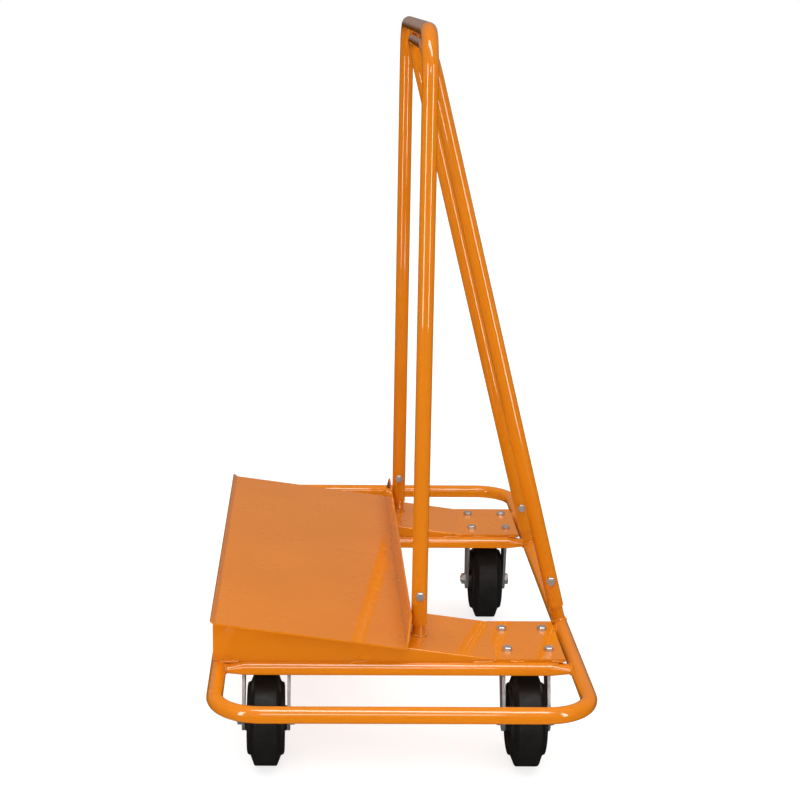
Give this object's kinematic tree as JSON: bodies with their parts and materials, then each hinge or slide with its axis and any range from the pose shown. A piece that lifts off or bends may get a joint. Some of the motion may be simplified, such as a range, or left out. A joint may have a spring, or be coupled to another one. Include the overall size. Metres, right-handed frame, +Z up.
{
  "type": "panel cart",
  "caption": "Panel cart for sheets of board: round-cornered tube base on two swivel and two rigid casters, tilted deck with a flange, and an upright tube hoop held by an inclined brace hoop.",
  "frame": {"origin": "on the floor, under the middle of the cart's overall length and width", "axes": "+Z up; +Y along the cart; +X across it, from the deck's open edge towards the brace hoop"},
  "size_m": [0.594, 1.2192, 1.178],
  "materials": {
    "frame_paint": "glossy orange powder coat",
    "zinc": "bright zinc plating",
    "bearing_steel": "polished",
    "wheel_core": "black enamel",
    "tyre": "moulded black rubber"
  },
  "bodies": {
    "frame": {"base_loop": "frame_paint", "front_outer_cross_tube": "frame_paint", "front_inner_cross_tube": "frame_paint", "rear_inner_cross_tube": "frame_paint", "rear_outer_cross_tube": "frame_paint", "front_channel": "frame_paint", "rear_channel": "frame_paint", "deck_panel": "frame_paint", "front_post_stub": "frame_paint", "rear_post_stub": "frame_paint", "front_leg_stub": "frame_paint", "rear_leg_stub": "frame_paint", "upright_hoop": "frame_paint", "brace_hoop": "frame_paint", "socket_bolts": "zinc", "socket_nuts": "zinc", "caster_bolts": "zinc", "caster_nuts": "zinc", "front_left_pad": "frame_paint", "front_left_plate": "zinc", "front_right_pad": "frame_paint", "front_right_plate": "zinc", "rear_left_pad": "frame_paint", "rear_left_plate": "zinc", "rear_right_pad": "frame_paint", "rear_right_plate": "zinc", "front_left_kingpin": "zinc", "front_right_kingpin": "zinc", "rear_left_fork": "zinc", "rear_left_axle": "zinc", "rear_left_sleeve": "bearing_steel", "rear_right_fork": "zinc", "rear_right_axle": "zinc", "rear_right_sleeve": "bearing_steel"},
    "swivel_front_left": {"front_left_fork": "zinc", "front_left_axle": "zinc", "front_left_sleeve": "bearing_steel", "front_left_balls": "bearing_steel"},
    "wheel_front_left": {"front_left_hub": "wheel_core", "front_left_tyre": "tyre", "front_left_rollers": "bearing_steel"},
    "swivel_front_right": {"front_right_fork": "zinc", "front_right_axle": "zinc", "front_right_sleeve": "bearing_steel", "front_right_balls": "bearing_steel"},
    "wheel_front_right": {"front_right_hub": "wheel_core", "front_right_tyre": "tyre", "front_right_rollers": "bearing_steel"},
    "wheel_rear_left": {"rear_left_hub": "wheel_core", "rear_left_tyre": "tyre", "rear_left_rollers": "bearing_steel"},
    "wheel_rear_right": {"rear_right_hub": "wheel_core", "rear_right_tyre": "tyre", "rear_right_rollers": "bearing_steel"}
  },
  "joints": [
    {"name": "front_left_swivel", "type": "hinge", "parent": "frame", "child": "swivel_front_left", "pos_m": [-0.21, -0.326, 0.1786], "axis": [0, 0, 1], "continuous": true},
    {"name": "front_left_roll", "type": "hinge", "parent": "swivel_front_left", "child": "wheel_front_left", "pos_m": [-0.21, -0.369, 0.0762], "axis": [1, 0, 0], "continuous": true},
    {"name": "front_right_swivel", "type": "hinge", "parent": "frame", "child": "swivel_front_right", "pos_m": [0.21, -0.326, 0.1786], "axis": [0, 0, 1], "continuous": true},
    {"name": "front_right_roll", "type": "hinge", "parent": "swivel_front_right", "child": "wheel_front_right", "pos_m": [0.21, -0.369, 0.0762], "axis": [1, 0, 0], "continuous": true},
    {"name": "rear_left_roll", "type": "hinge", "parent": "frame", "child": "wheel_rear_left", "pos_m": [-0.21, 0.326, 0.0762], "axis": [1, 0, 0], "continuous": true},
    {"name": "rear_right_roll", "type": "hinge", "parent": "frame", "child": "wheel_rear_right", "pos_m": [0.21, 0.326, 0.0762], "axis": [1, 0, 0], "continuous": true}
  ]
}
